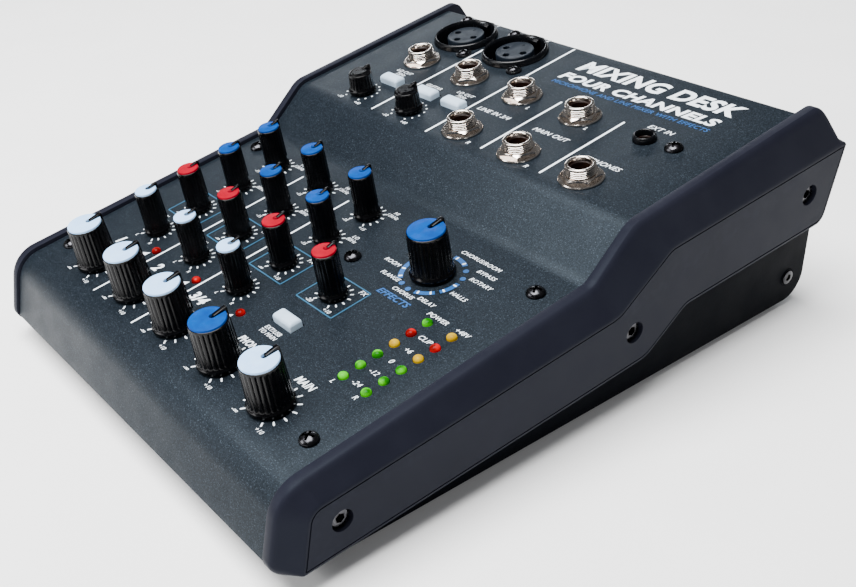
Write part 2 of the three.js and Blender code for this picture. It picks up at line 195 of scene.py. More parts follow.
def tapered(bm, half_x, half_y, radius, levels):
    """A rounded rectangle carried up through (height, drawn in) levels."""
    rings = []
    for z, d in levels:
        outline = rectangle(half_x - d, half_y - d, radius)
        rings.append([(p.x, p.y, z) for p in outline])
    return skin(rings, bm=bm)


def skin(rings, capped=True, bm=None):
    """Closed rings of points joined one to the next, with a lid on each end, in bm or a new bmesh."""
    if bm is None:
        bm = bmesh.new()
    loops = [[bm.verts.new(p) for p in ring] for ring in rings]
    count = len(loops[0])
    for a, b in zip(loops, loops[1:]):
        for i in range(count):
            j = (i + 1) % count
            bm.faces.new((a[i], a[j], b[j], b[i]))
    if capped:
        bm.faces.new(loops[0][::-1])
        bm.faces.new(loops[-1])
    return bm


def prism(bm, outline, low, high, edge=0.0):
    """An outline in x-y carried up from low to high, with its top edge rounded by a small amount."""
    levels = [(low, 0.0), (high - edge, 0.0)]
    if edge:
        levels += [(high - edge * 0.3, edge * 0.3), (high, edge)]
    return skin([[(p.x, p.y, z) for p in inset(outline, d)] for z, d in levels], bm=bm)


def turned(profile, sides, wave=None):
    """A turned shape from (radius, height) pairs. wave(angle, index) may change a ring's radius."""
    rings = []
    for index, (radius, z) in enumerate(profile):
        ring = []
        for k in range(sides):
            angle = tau * k / sides
            r = radius + (wave(angle, index) if wave else 0)
            ring.append((r * cos(angle), r * sin(angle), z))
        rings.append(ring)
    return skin(rings)


def ring_of(rings):
    """Rings joined one to the next and the last to the first, so that there is a hole through them."""
    bm = skin([*rings, rings[0]], capped=False)
    bmesh.ops.remove_doubles(bm, verts=bm.verts, dist=SAME_POINT)
    return bm


def tube(profile, sides):
    """A turned shape whose profile closes on itself, so that it has a hole through it."""
    return ring_of([[(p.x, p.y, z) for p in circle(r, sides)] for r, z in profile])


def block(bm, low, high):
    """A plain box between two corners, for cutting and for hidden stems."""
    (x0, y0, z0), (x1, y1, z1) = low, high
    return prism(bm, [Vector(p) for p in ((x0, y0), (x1, y0), (x1, y1), (x0, y1))], z0, z1)


def across(points, x0, x1, edge=0.0):
    """An outline in the side view carried along x, with both ends rounded by a small amount."""
    levels = [(x0, edge), (x0 + edge * 0.3, edge * 0.3), (x0 + edge, 0.0)] if edge else [(x0, 0.0)]
    levels += [(x1 - edge, 0.0), (x1 - edge * 0.3, edge * 0.3), (x1, edge)] if edge else [(x1, 0.0)]
    return skin([[(x, p.x, p.y) for p in inset(points, d)] for x, d in levels])


def show(thing):
    bpy.context.scene.collection.objects.link(thing)


def made(bm, name, place):
    """A mesh object from a bmesh drawn in millimetres, set down in the frame at place."""
    bmesh.ops.recalc_face_normals(bm, faces=bm.faces)
    mesh = bpy.data.meshes.new(name)
    bm.to_mesh(mesh)
    bm.free()
    mesh.transform(place)
    if place.determinant() < 0:
        mesh.flip_normals()
    piece = bpy.data.objects.new(name, mesh)
    show(piece)
    return piece


def carve(piece, cutters, place):
    """Takes a bmesh of cutters, set down at place, out of the piece."""
    tool = made(cutters, "cutter", place)
    cut = piece.modifiers.new("cut", "BOOLEAN")
    cut.object = tool
    cut.solver = "EXACT"
    evaluated = piece.evaluated_get(bpy.context.evaluated_depsgraph_get())
    mesh = bpy.data.meshes.new_from_object(evaluated)
    piece.modifiers.clear()
    old = piece.data
    piece.data = mesh
    bpy.data.meshes.remove(old)
    bpy.data.objects.remove(tool)


def dress(piece, look, body="case", stands_for=(), angle=32.0):
    """Shades a piece, gives it its material, and rides it on its body."""
    piece.data.shade_smooth()
    piece.data.set_sharp_from_angle(angle=radians(angle))
    piece.data.materials.clear()
    piece.data.materials.append(LOOKS[look])
    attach(piece, body)
    if stands_for:
        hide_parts(*stands_for)


def put(bm, name, place, look, *riding, **more):
    """Makes a piece that needs no cutting, and dresses it."""
    dress(made(bm, name, place), look, *riding, **more)


# ---- Materials ----


LOOKS = {}  # each look's material, by name


class Graph:
    """A material's node tree with short ways to add the few nodes that every surface here uses."""

    def __init__(self, name):
        self.material = LOOKS[name] = bpy.data.materials.new(name)
        self.material.use_nodes = True
        self.tree = self.material.node_tree
        self.shader = self.tree.nodes["Principled BSDF"]
        self.place = self.add("ShaderNodeTexCoord", {}).outputs["Object"]

    def add(self, kind, inputs, **values):
        """A node with its inputs linked, or set where a plain number is given."""
        node = self.tree.nodes.new(kind)
        for key, value in values.items():
            setattr(node, key, value)
        for key, value in inputs.items():
            if isinstance(value, float):
                node.inputs[key].default_value = value
            else:
                self.link(value, node.inputs[key])
        return node

    def link(self, source, socket):
        self.tree.links.new(source, socket)

    def set(self, **values):
        for key, value in values.items():
            self.shader.inputs[key.replace("_", " ")].default_value = value

    def noise(self, size, detail=2.0):
        """Cloudy noise whose features are about size millimetres across."""
        inputs = {"Vector": self.place, "Scale": 1000.0 / size, "Detail": detail}
        return self.add("ShaderNodeTexNoise", inputs).outputs["Fac"]

    def cells(self, size):
        """Distance to the nearest of many points about size millimetres apart."""
        inputs = {"Vector": self.place, "Scale": 1000.0 / size}
        return self.add("ShaderNodeTexVoronoi", inputs).outputs["Distance"]

    def ramp(self, value, *stops):
        """Colours, or greys given as one number, along a value."""
        node = self.add("ShaderNodeValToRGB", {"Fac": value})
        elements = node.color_ramp.elements
        while len(elements) < len(stops):
            elements.new(1.0)
        for element, (position, colour) in zip(elements, stops):
            element.position = position
            grey = not isinstance(colour, tuple)
            element.color = (colour, colour, colour, 1.0) if grey else (*colour, 1.0)
        return node.outputs["Color"]

    def blend(self, factor, first, second):
        """Two colours mixed by a factor, or multiplied where it is None."""
        mode = "MIX" if factor else "MULTIPLY"
        inputs = {0: factor or 1.0, 6: first, 7: second}
        return self.add("ShaderNodeMix", inputs, data_type="RGBA", blend_type=mode).outputs[2]

    def bump(self, height, depth, strength, under=None):
        """Relief whose height is in millimetres, over other relief if there is any."""
        inputs = {"Height": height, "Distance": depth / 1000.0, "Strength": strength}
        if under:
            inputs["Normal"] = under
        return self.add("ShaderNodeBump", inputs).outputs["Normal"]

    def edges(self, low, high):
        """White on sharp outer edges, broken up by noise, and black elsewhere."""
        points = self.add("ShaderNodeNewGeometry", {}).outputs["Pointiness"]
        bare = self.ramp(points, (low, 0.0), (high, 1.0))
        patches = self.ramp(self.noise(2.5, 4.0), (0.45, 0.0), (0.65, 1.0))
        return self.blend(None, bare, patches)

    def finish(self, colour, roughness, normal=None):
        self.link(colour, self.shader.inputs["Base Color"])
        self.link(roughness, self.shader.inputs["Roughness"])
        if normal:
            self.link(normal, self.shader.inputs["Normal"])


COOL = (0.7, 0.86, 1.0, 1.0)  # the tint that the dark blue-grey surfaces give their highlights


def panel_paint():
    """Dark blue-grey powder coat: an orange-peel grain, darker pits, and fine bright flecks."""
    g = Graph("panel_paint")
    base = g.ramp(g.noise(0.5, 3.0), (0.35, (0.0016, 0.0027, 0.0042)), (0.65, (0.0072, 0.0106, 0.0152)))
    flecks = g.ramp(g.noise(0.33, 1.0), (0.6, 0.0), (0.7, 1.0))
    bright = g.ramp(g.noise(6.0), (0.3, (0.02, 0.028, 0.038)), (0.7, (0.036, 0.047, 0.06)))
    rubbed = g.ramp(g.noise(1.0), (0.0, (0.03, 0.036, 0.042)), (1.0, (0.04, 0.046, 0.052)))
    worn = g.blend(g.edges(0.6, 0.7), g.blend(flecks, base, bright), rubbed)
    rough = g.ramp(g.noise(9.0, 3.0), (0.3, 0.46), (0.7, 0.54))
    peel = g.bump(g.noise(0.75, 2.0), 0.04, 0.6)
    g.set(Specular_IOR_Level=0.14, Specular_Tint=COOL)
    g.finish(worn, rough, g.bump(g.cells(0.4), 0.012, 0.5, peel))


def pan_paint():
    """Fine-textured black powder coat."""
    g = Graph("pan_paint")
    base = g.ramp(g.noise(0.8, 3.0), (0.3, (0.001, 0.0013, 0.0022)), (0.7, (0.002, 0.0024, 0.004)))
    rubbed = g.ramp(g.noise(1.5), (0.0, (0.01, 0.01, 0.013)), (1.0, (0.016, 0.016, 0.02)))
    colour = g.blend(g.edges(0.6, 0.7), base, rubbed)
    rough = g.ramp(g.noise(12.0, 3.0), (0.3, 0.55), (0.7, 0.65))
    g.set(Specular_IOR_Level=0.02, Specular_Tint=COOL)
    g.finish(colour, rough, g.bump(g.noise(0.5, 2.0), 0.03, 0.6))


def cheek_plastic():
    """Dark slate moulded plastic with a fine spark-eroded grain and faint rubbed edges."""
    g = Graph("cheek_plastic")
    base = g.ramp(g.noise(14.0, 3.0), (0.3, (0.0082, 0.0087, 0.0142)), (0.7, (0.0102, 0.0108, 0.017)))
    rubbed = g.ramp(g.noise(1.0), (0.0, (0.016, 0.018, 0.027)), (1.0, (0.024, 0.026, 0.038)))
    colour = g.blend(g.edges(0.53, 0.62), base, rubbed)
    rough = g.ramp(g.noise(7.0, 4.0), (0.3, 0.38), (0.7, 0.46))
    g.set(Specular_IOR_Level=0.04, Specular_Tint=COOL)
    g.finish(colour, rough, g.bump(g.noise(0.28, 2.0), 0.012, 0.55))


def moulded(name, dark, light, roughness, shine=0.3, grain=0.006):
    """A plain moulded plastic: a little colour variation, uneven gloss and a very fine grain."""
    g = Graph(name)
    colour = g.ramp(g.noise(3.0, 3.0), (0.3, dark), (0.7, light))
    rough = g.ramp(g.noise(2.2, 4.0), (0.3, roughness - 0.05), (0.7, roughness + 0.07))
    g.set(Specular_IOR_Level=shine)
    g.finish(colour, rough, g.bump(g.noise(0.25, 2.0), grain, 0.5))


def plated(name, dark, light, roughness):
    """Plated metal with small cloudy marks, and painted shade darkening its grooves and corners."""
    g = Graph(name)
    unshaded_plate = g.ramp(g.noise(1.4, 4.0), (0.35, dark), (0.65, light))
    points = g.add("ShaderNodeNewGeometry", {}).outputs["Pointiness"]
    # Painted shade: pointiness multiplies a warm dark into concave grooves and corners, standing in for
    # occlusion.
    colour = g.blend(None, unshaded_plate, g.ramp(points, (0.4, (0.1, 0.075, 0.06)), (0.5, 1.0)))
    rough = g.ramp(g.noise(0.8, 4.0), (0.3, roughness - 0.05), (0.7, roughness + 0.1))
    g.set(Metallic=1.0)
    g.finish(colour, rough, g.bump(g.noise(0.3, 2.0), 0.0004, 0.4))


def lit_lens(name, deep, bright, glow):
    """A lit diffused lamp: a brighter core, a darker rim and a glossy skin."""
    g = Graph(name)
    core = g.ramp(g.noise(2.6, 0.0), (0.35, deep), (0.6, bright))
    g.link(core, g.shader.inputs["Emission Color"])
    g.set(Emission_Strength=glow, Specular_IOR_Level=0.06)
    rough = g.ramp(g.noise(2.0), (0.0, 0.18), (1.0, 0.3))
    g.finish(core, rough, g.bump(g.noise(0.5), 0.004, 0.4))


def ink(name, dark, light):
    """Screen-printed ink: slightly uneven cover over the paint's grain."""
    g = Graph(name)
    colour = g.ramp(g.noise(0.3, 2.0), (0.3, dark), (0.6, light))
    rough = g.ramp(g.noise(1.0), (0.0, 0.5), (1.0, 0.65))
    g.finish(colour, rough, g.bump(g.noise(0.5), 0.01, 0.5))


def rubber():
    """Matt black rubber with mould dust in its pores."""
    g = Graph("foot_rubber")
    colour = g.ramp(g.noise(1.5, 4.0), (0.35, (0.008, 0.008, 0.008)), (0.75, (0.028, 0.027, 0.026)))
    rough = g.ramp(g.noise(4.0), (0.3, 0.75), (0.7, 0.9))
    g.finish(colour, rough, g.bump(g.noise(0.4), 0.03, 0.7))


def laminate():
    """Green solder mask over the weave of a circuit board."""
    g = Graph("board_laminate")
    weave = g.add("ShaderNodeTexWave", {"Vector": g.place, "Scale": 400.0})
    colour = g.ramp(g.noise(2.0, 4.0), (0.3, (0.008, 0.06, 0.02)), (0.7, (0.015, 0.1, 0.035)))
    rough = g.ramp(g.noise(3.0), (0.3, 0.3), (0.7, 0.45))
    g.finish(colour, rough, g.bump(weave.outputs["Fac"], 0.01, 0.3))


BLACK_DARK, BLACK_LIGHT = (0.0006, 0.0006, 0.0009), (0.0012, 0.0012, 0.0018)
panel_paint()
pan_paint()
cheek_plastic()
moulded("knob_plastic", BLACK_DARK, BLACK_LIGHT, 0.2, 0.16)
moulded("cap_pale", (0.36, 0.6, 0.96), (0.42, 0.67, 1.0), 0.45, 0.12)
moulded("cap_blue", (0.0, 0.034, 0.19), (0.0, 0.05, 0.25), 0.42, 0.04)
moulded("cap_red", (0.24, 0.0, 0.01), (0.3, 0.0, 0.015), 0.42, 0.02)
moulded("button_white", (0.42, 0.55, 0.68), (0.5, 0.62, 0.75), 0.4, 0.2)
plated("nickel", (0.62, 0.55, 0.49), (0.7, 0.63, 0.57), 0.12)
plated("jack_nickel", (0.68, 0.61, 0.55), (0.76, 0.69, 0.63), 0.1)
plated("screw_black", (0.025, 0.025, 0.028), (0.055, 0.055, 0.06), 0.2)
plated("usb_steel", (0.4, 0.4, 0.4), (0.55, 0.55, 0.56), 0.3)
moulded("socket_plastic", (0.001, 0.0012, 0.0018), (0.002, 0.0024, 0.0034), 0.22, 0.22)
moulded("socket_insert", (0.0035, 0.006, 0.01), (0.006, 0.0095, 0.015), 0.42, 0.12)
moulded("jack_core", (0.008, 0.003, 0.002), (0.016, 0.007, 0.004), 0.3)
lit_lens("led_green", (0.002, 0.1, 0.0), (0.05, 0.4, 0.0), 0.4)
lit_lens("led_yellow", (0.3, 0.17, 0.0), (0.42, 0.26, 0.0), 0.3)
lit_lens("led_red", (0.12, 0.0, 0.0), (0.4, 0.0, 0.003), 0.6)
lit_lens("led_red_dim", (0.1, 0.0, 0.0), (0.3, 0.0, 0.002), 0.4)
ink("print_white", (0.7, 0.78, 0.84), (0.9, 0.95, 1.0))
ink("print_blue", (0.0, 0.05, 0.18), (0.0, 0.075, 0.26))
ink("print_outline", (0.0, 0.05, 0.11), (0.001, 0.08, 0.16))
rubber()
laminate()

# ---- The bent top panel ----

PANEL_LINE = [
    (-24.6, -18.9), (-17.3, 0, 10), (85.9, 0, 8), (102.3, STEP, 8), (174.6, STEP, 3),
    to_deck(REAR_Y - SHEET, REAR_TOP + 0.35),
]
BUTTONS = {
    "source_button": (COLUMNS[3], FIRST_ROW, 0.0),
    "low_cut_button_1": (-46.4, 121.6, STEP),
    "low_cut_button_2": (-28.3, 121.6, STEP),
    "guitar_button": (-14.6, 121.6, STEP),
}
JACKS = {
    "line_jack_1": (COLUMNS[0], BACK_JACKS),
    "line_jack_2": (COLUMNS[1], BACK_JACKS),
    "line_jack_3": (COLUMNS[2], BACK_JACKS),
    "line_jack_4": (COLUMNS[2], FRONT_JACKS),
    "main_jack_left": (COLUMNS[3], BACK_JACKS),
    "main_jack_right": (COLUMNS[3], FRONT_JACKS),
    "phones_jack": (COLUMNS[4], FRONT_JACKS),
}
EXT_IN = (COLUMNS[4], BACK_JACKS)
MIC_SOCKETS = {"mic_socket_1": (COLUMNS[0], XLR_ROW), "mic_socket_2": (COLUMNS[1], XLR_ROW)}
KEY_X, KEY_S = 4.5, 2.2  # half a push key's size
KEY_GAP = 0.25
LAMP_HOLE_R = 1.62
JACK_HOLE_R = 4.9
MIC_HOLE_R = 10.6
EXT_HOLE_R = 3.6
SHAFT_HOLE_R = 3.1
HOLE = (-4, 3)  # how far a hole's cutter reaches below and above the deck
METER_COLOURS = ("led_green", "led_green", "led_green", "led_yellow", "led_red")


def meter_lamps():
    """(x, s, look) of each lamp of the level meter, the power lamp and the phantom lamp."""
    lamps = []
    for column, top in ((0, "led_green"), (1, "led_yellow")):
        for row, look in enumerate((*METER_COLOURS, top)):
            lamps.append((METER_X + column * METER_COLUMN, METER_FIRST + row * METER_ROW, look))
    return lamps


def peak_lamps():
    return [(x + PEAK_DX, PEAK_S, "led_red_dim") for x in COLUMNS[:3]]


def top_panel():
    outer = rounded(PANEL_LINE, 14, closed=False)
    inner = rounded(beside(PANEL_LINE, -SHEET), 14, closed=False)
    section = [*inner, *outer[::-1]]
    panel = made(across(section, -PANEL_HALF, PANEL_HALF, 0.25), "top_panel_sheet", DECK)
    holes = bmesh.new()
    half_x, half_s = KEY_X + KEY_GAP, KEY_S + KEY_GAP
    for x, s, n in BUTTONS.values():
        block(holes, (x - half_x, s - half_s, n + HOLE[0]), (x + half_x, s + half_s, n + HOLE[1]))
    for x, s, _ in meter_lamps() + peak_lamps():
        prism(holes, circle(LAMP_HOLE_R, 32, (x, s)), *HOLE)
    low, high = (STEP + reach for reach in HOLE)
    for spot in JACKS.values():
        prism(holes, circle(JACK_HOLE_R, 32, spot), low, high)
    for spot in MIC_SOCKETS.values():
        prism(holes, circle(MIC_HOLE_R, 48, spot), low, high)
    prism(holes, circle(EXT_HOLE_R, 32, EXT_IN), low, high)
    for name, joint in joints.items():
        if "knob" in name:
            centre = DECK.inverted() @ Vector(joint["pos_m"])
            prism(holes, circle(SHAFT_HOLE_R, 24, centre[:2]), centre.z + HOLE[0], centre.z + HOLE[1])
    carve(panel, holes, DECK)
    dress(panel, "panel_paint", stands_for=["top_panel"], angle=25)


# ---- The bottom pan ----


def wall_outline(grow=0.0, floor=BASE_Z, foot_radius=8.0):
    """A side wall of the pan in the floor's side view."""
    low = grow - 4.2

    def from_deck(s, n, radius):
        p = DECK @ Vector((0, s, n)) * 1000
        return (p.y, p.z, radius)

    corners = [
        (-93 - grow, floor, 1.0), (-101.2 - grow, FRONT_TOP - 0.4, 0.3),
        from_deck(-15.6 - grow, low, 5), from_deck(87.6, low, 6), from_deck(104, low + STEP, 6),
        from_deck(174 + grow, low + STEP, 0.5), (REAR_Y + grow, REAR_TOP, 0.5),
        (REAR_Y + grow, floor, foot_radius),
    ]
    return rounded(corners, 10)[::-1]


def bottom_pan():
    pan = made(across(wall_outline(), -WALL_X, WALL_X, 0.28), "bottom_pan_shell", MM)
    room = [
        (-91.6, BASE_Z + SHEET, 0), (-99.3, FRONT_TOP - 0.4, 0), (-140, FRONT_TOP - 0.4, 0),
        (-140, 120, 0), (140, 120, 0), (140, REAR_TOP, 0), (REAR_Y - SHEET, REAR_TOP, 0),
        (REAR_Y - SHEET, BASE_Z + SHEET, 6.5),
    ]
    inside = across(rounded(room, 10)[::-1], SHEET - WALL_X, WALL_X - SHEET)
    carve(pan, inside, MM)
    holes = bmesh.new()
    openings = [(DC_X, 4.9, 5.9), (USB_X, 6.4, 5.9), (PHANTOM_X, 3.4, 3.4), (POWER_X, 4.4, 4.4)]
    for x, half_x, half_z in openings:
        low = (x - half_x, REAR_Y - 4, CONNECTOR_Z - half_z)
        block(holes, low, (x + half_x, REAR_Y + 2, CONNECTOR_Z + half_z))
    carve(pan, holes, MM)
    dress(pan, "pan_paint", stands_for=["bottom_pan"], angle=25)


# ---- The end cheeks ----

CHEEK_BOTTOM = [(116, -20.6, 7), (99.5, -29.2, 9)]
RIDGE = [
    (-26.55, -21.9, 4), (-18, CHEEK_PROUD, 11), (85.6, CHEEK_PROUD, 7), (102, STEP + CHEEK_PROUD, 9),
    (178.6, STEP + CHEEK_PROUD, 5), (185.8, -2.2, 1.5), (176.7, -25, 4), *CHEEK_BOTTOM,
]
CREASE = [
    (-19.4, -22.4, 0.6), (-13.2, -4.6, 5), (89.5, -8.6, 7), (110.3, 2, 7), (183, -1.7, 0.6),
    (185.7, -2.1, 0.6), (176.7, -25, 4), *CHEEK_BOTTOM,
]
CHEEK_SCREWS = [(-5.25, -13.4), (95.2, -17.9), (169.4, -11.9)]
POCKET_R = 3.2
POCKET_DEPTH = 2.6
# Across a cheek, from its inner edge out: (x, share of the way from ridge to crease, drawn in by).
CHEEK_SECTION = [
    (CHEEK_IN, 0.0, 0.35), (CHEEK_IN + 0.12, 0.0, 0.1), (CHEEK_IN + 0.4, 0.0, 0.0),
    (CHEEK_RIDGE - 0.7, 0.0, 0.0), (CHEEK_RIDGE - 0.1, 0.03, 0.0), (CHEEK_RIDGE + 0.5, 0.1, 0.0),
    (CHEEK_RIDGE + 1.1, 0.22, 0.0), (CHEEK_OUT - 0.9, 0.82, 0.0), (CHEEK_OUT - 0.4, 0.92, 0.0),
    (CHEEK_OUT - 0.1, 0.98, 0.1), (CHEEK_OUT, 1.0, 0.3), (CHEEK_OUT, 1.0, 0.78),
    (CHEEK_OUT - 0.4, 1.0, 0.84), (CHEEK_OUT - 0.4, 1.0, 1.1), (CHEEK_OUT, 1.0, 1.16),
]


def cheek(side):
    """One cheek, drawn as the right-hand one and mirrored for the left."""
    rings = []
    for x, share, drawn_in in CHEEK_SECTION:
        corners = [tuple(Vector(a).lerp(Vector(b), share)) for a, b in zip(RIDGE, CREASE)]
        outline = rounded(beside(corners, -drawn_in, closed=True), 10)[::-1]
        rings.append([(x, p.x, p.y) for p in outline])
    mirror = SIDES[side]
    place = mirror @ DECK
    piece = made(skin(rings), f"{side}_cheek_shell", place)
    wall = wall_outline(0.5, -30.0, 0.0)
    slot = across(wall, CHEEK_IN - 1, WALL_X + 0.35)
    carve(piece, slot, mirror @ MM)
    pockets = bmesh.new()
    seat = CHEEK_OUT - POCKET_DEPTH
    for spot in CHEEK_SCREWS:
        outline = circle(POCKET_R, 40, spot)
        skin([[(x, p.x, p.y) for p in outline] for x in (seat, CHEEK_OUT + 2)], bm=pockets)
    carve(piece, pockets, place)
    dress(piece, "cheek_plastic", stands_for=[f"{side}_cheek"], angle=28)
    for number, (s, n) in enumerate(CHEEK_SCREWS, 1):
        spot = place @ shift((seat, s, n)) @ SIDEWAYS
        socket_screw(f"{side}_cheek_screw_{number}", spot, 2.75, 1.5)


# ---- Screws ----


def socket_screw(name, place, radius, height):
    """A cap screw with a hexagonal socket."""
    head = [(radius, 0), (radius, height - 0.3), (radius - 0.1, height - 0.08), (radius - 0.35, height)]
    piece = made(turned(head, 40), name, place)
    carve(piece, prism(bmesh.new(), circle(radius * 0.52, 6), height * 0.25, height + 1), place)
    dress(piece, "screw_black")


def cross_screw(name, place, radius, height, look):
    """A domed screw with a cross recess."""
    dome = [(radius * 0.96, 0), (radius, 0.15)]
    for k in range(1, 9):
        angle = radians(10 * k)
        dome.append((radius * cos(angle), height * (0.12 + 0.88 * sin(angle))))
    piece = made(turned(dome, 40), name, place)
    arm = radius * 0.62
    half = radius * 0.13
    recess = bmesh.new()
    cross = [(-arm, -half), (-half, -half), (-half, -arm), (half, -arm), (half, -half), (arm, -half),
             (arm, half), (half, half), (half, arm), (-half, arm), (-half, half), (-arm, half)]
    prism(recess, [Vector(p) for p in cross], height * 0.35, height + 1)
    carve(piece, recess, place @ Matrix.Rotation(radians(28), 4, "Z"))
    dress(piece, look)


def panel_screws():
    places = [(-68, -1, 0), (68, -1, 0), (-68, 75, 0), (68, 75, 0), (14.3, 54.2, 0), (60.2, 138.6, STEP)]
    for number, (x, s, n) in enumerate(places, 1):
        cross_screw(f"panel_screw_{number}", on_deck(x, s, n), 2.75, 1.9, "screw_black")


def pan_screws():
    """Flush socket screws in the side walls, with a shallow dish round each."""
    for side, mirror in SIDES.items():
        spot = mirror @ MM @ shift((WALL_X, 92.3, 11)) @ SIDEWAYS
        ring = tube([(2.45, 0), (3, 0), (2.9, 0.14), (2.55, 0.14)], 40)
        put(ring, f"{side}_wall_dish", spot, "pan_paint")
        socket_screw(f"{side}_wall_screw", spot, 2.3, 0.55)


# ---- Knobs ----

BIG = {"base": 6.7, "top": 5.75, "height": 14.4, "cap": 5.4, "rib": 1.3, "flutes": 24}
SMALL = {"base": 4.4, "top": 3.8, "height": 15.0, "cap": 3.5, "rib": 1.0, "flutes": 18}
GAIN = {"base": 4.8, "top": 4.0, "height": 7.2, "cap": 3.7, "rib": 1.1, "flutes": 20}
STAND_OFF = 0.6
SHAFT_R = 2.5
SHAFT_END = -10.5
FLUTE_SAMPLES = 8


def knob_body(size):
    """A tapered, fluted knob with a rounded skirt and a raised rim."""
    base, top, height = size["base"], size["top"], size["height"]
    skirt = STAND_OFF + 1.5
    profile = [
        (SHAFT_R, SHAFT_END, 0), (SHAFT_R, STAND_OFF, 0), (base - 0.35, STAND_OFF, 0),
        (base - 0.05, STAND_OFF + 0.2, 0), (base, STAND_OFF + 0.55, 0), (base - 0.08, skirt - 0.4, 0),
        (base - 0.45, skirt, 0), (base - 0.55, skirt + 0.25, 0.3), (base - 0.6, skirt + 0.8, 1),
        (top + 0.02, height - 0.9, 1), (top, height - 0.45, 0.4), (top - 0.03, height - 0.2, 0),
        (top - 0.14, height + 0.12, 0), (top - 0.3, height + 0.2, 0),
        (size["cap"] - 0.1, height + 0.1, 0), (size["cap"] - 0.3, height - 0.2, 0),
    ]
    depth = 0.28 if size is BIG else 0.2

    def flutes(angle, index):
        groove = (0.5 + 0.5 * cos(size["flutes"] * angle)) ** 3
        return -depth * groove * profile[index][2]

    sides = size["flutes"] * FLUTE_SAMPLES
    return turned([p[:2] for p in profile], sides, flutes)


def knob_rib(size):
    """The pointer: a fin from the cap's middle out over the rim and down the back of the knob."""
    base, top, height, cap = size["base"], size["top"], size["height"], size["cap"]
    outline = [
        (cap * 0.34, height - 1.5, 0), (base - 1.0, STAND_OFF + 2.2, 0),
        (base + 0.1, STAND_OFF + 2.0, 0.3), (top + 0.42, height + 1.55, 0.25),
        (top - 0.6, height + 1.5, 0.8), (cap * 0.34, height + 0.95, 0.2),
    ]
    half = size["rib"] / 2
    return across(rounded(outline, 5), -half, half, 0.18)


def knob_cap(size):
    """The coloured cap: a disc with a soft edge and a slot that lets the pointer through."""
    cap, height = size["cap"], size["height"]
    half = size["rib"] / 2 + 0.22
    opening = asin(half / cap)
    outline = []
    for k in range(57):
        angle = pi / 2 + opening + (tau - 2 * opening) * k / 56
        outline.append(Vector((cap * cos(angle), cap * sin(angle))))
    inner = cap * 0.3
    for k in range(9):
        angle = -pi * k / 8
        outline.append(Vector((half * cos(angle), inner + half * sin(angle))))
    return prism(bmesh.new(), outline, height - 0.25, height + 0.8, 0.28)


def gain_cap(size):
    """The gain knobs' black top: a stepped disc under the pointer."""
    cap, height = size["cap"], size["height"]
    steps = [(0, -0.3), (0, 0.35), (0.15, 0.55), (0.55, 0.6), (0.7, 0.42), (0.95, 0.42), (1.15, 0.8)]
    return turned([(cap - inward, height + up) for inward, up in steps], 56)


def knob(name, size, cap_look=None):
    place = shift(joints[name]["pos_m"]) @ TURN @ MM
    put(knob_body(size), f"{name}_body", place, "knob_plastic", name, [name])
    put(knob_rib(size), f"{name}_pointer", place, "knob_plastic", name)
    if size is GAIN:
        put(gain_cap(size), f"{name}_top", place, "knob_plastic", name)
    else:
        put(knob_cap(size), f"{name}_cap", place, cap_look, name)


def all_knobs():
    small = [("pan", "cap_pale"), ("send", "cap_red"), ("low", "cap_blue"), ("high", "cap_blue")]
    for strip in STRIPS:
        knob(f"level_knob_{strip}", BIG, "cap_pale")
        for kind, cap_look in small:
            knob(f"{kind}_knob_{strip}", SMALL, cap_look)
    knob("main_knob", BIG, "cap_pale")
    knob("phones_knob", BIG, "cap_blue")
    knob("effects_knob", BIG, "cap_blue")
    knob("effects_level_knob", SMALL, "cap_red")
    knob("gain_knob_1", GAIN)
    knob("gain_knob_2", GAIN)


# ---- Push keys ----


def push_keys():
    for name, (x, s, n) in BUTTONS.items():
        levels = [(-3.2, 0), (1.3, 0), (1.7, 0.1), (2.1, 0.42), (2.3, 0.7), (2.36, 1.0)]
        bm = tapered(bmesh.new(), KEY_X, KEY_S, 0.7, levels)
        block(bm, (-1.8, -1.1, -7.6), (1.8, 1.1, -3.3))
        put(bm, f"{name}_key", on_deck(x, s, n), "button_white", name, [name])


# ---- Sockets ----

BUSH_R = 4.45
BUSH_TOP = 5.0
BORE_R = 3.3
NUT_R = 6.0
THREAD = 0.58


def bush():
    """The threaded nickel bush of a jack, open down the middle."""
    outer = [(4.2, -3.0), (BUSH_R - 0.4, 1.6)]
    turns = 5
    for k in range(turns * 6):
        wave = cos(tau * k / 6)
        outer.append((BUSH_R - 0.27 + 0.27 * wave, 1.6 + THREAD * (k + 1) / 6))
    rim = [(BUSH_R - 0.25, 4.56), (BUSH_R - 0.08, 4.66), (BUSH_R - 0.1, 4.85), (BUSH_R - 0.3, BUSH_TOP),
           (BORE_R + 0.4, BUSH_TOP), (BORE_R + 0.15, 4.9), (BORE_R, 4.6), (BORE_R, -3.0)]
    return tube(outer + rim, 56)


def core():
    """The dark moulded housing and the sleeve inside the bush."""
    box = rectangle(6.5, 6.5, 1.0)
    # The hole starts at the box's first corner, so that the two rings pair up.
    start = Matrix.Rotation(atan2(box[0].y, box[0].x), 2)
    hole = [start @ p for p in circle(BORE_R - 0.3, len(box))]
    levels = [(box, 1, -22.4), (box, 1, -2.4), (box, 0.94, -1.9), (hole, 1.09, -1.9), (hole, 1.09, 3.7),
              (hole, 1, 3.4), (hole, 1, -21.0)]
    return skin([[(p.x * scale, p.y * scale, z) for p in ring] for ring, scale, z in levels])


